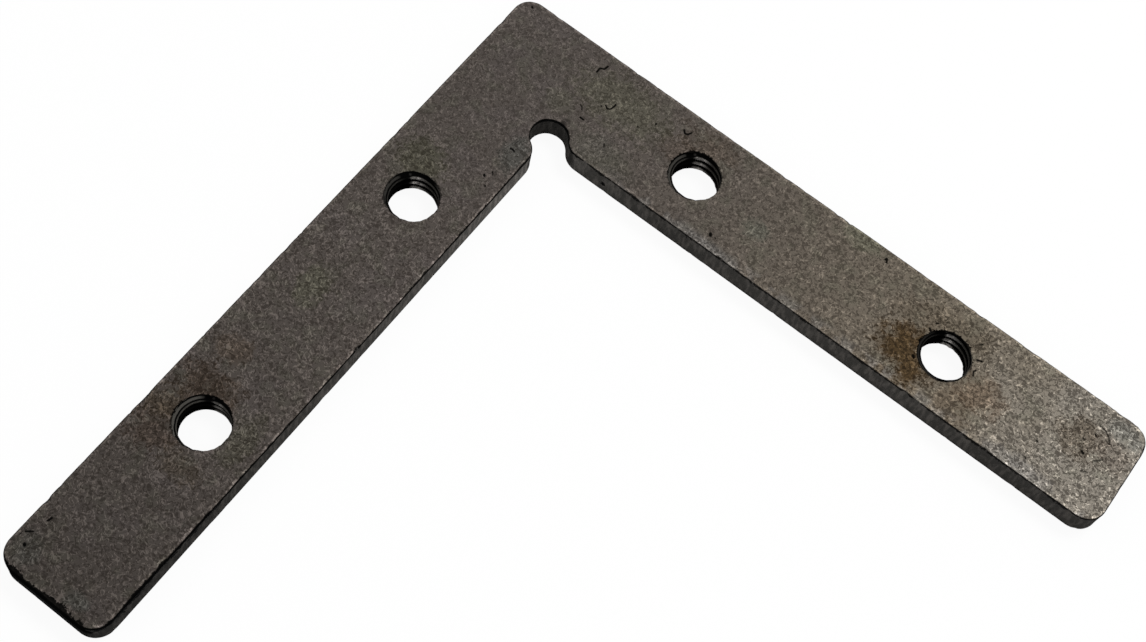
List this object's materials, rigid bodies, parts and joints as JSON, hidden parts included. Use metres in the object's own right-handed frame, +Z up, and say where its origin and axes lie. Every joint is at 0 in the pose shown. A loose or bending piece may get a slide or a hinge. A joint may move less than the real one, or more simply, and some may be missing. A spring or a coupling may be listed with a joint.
{
  "type": "angle connector",
  "caption": "Flat L-shaped steel plate with equal arms, a round relief at the inner corner and tapped holes for set screws.",
  "frame": {"origin": "middle of the underside of the plate's bounding box", "axes": "+Z up through the thickness; from the outer corner one arm runs along +X and the other along -Y"},
  "size_m": [0.0776, 0.0776, 0.003],
  "materials": {
    "plate": "bare mild steel, dull and dark with a fine grain, lightly rust-stained"
  },
  "bodies": {
    "root": {"plate": "plate"}
  },
  "joints": []
}
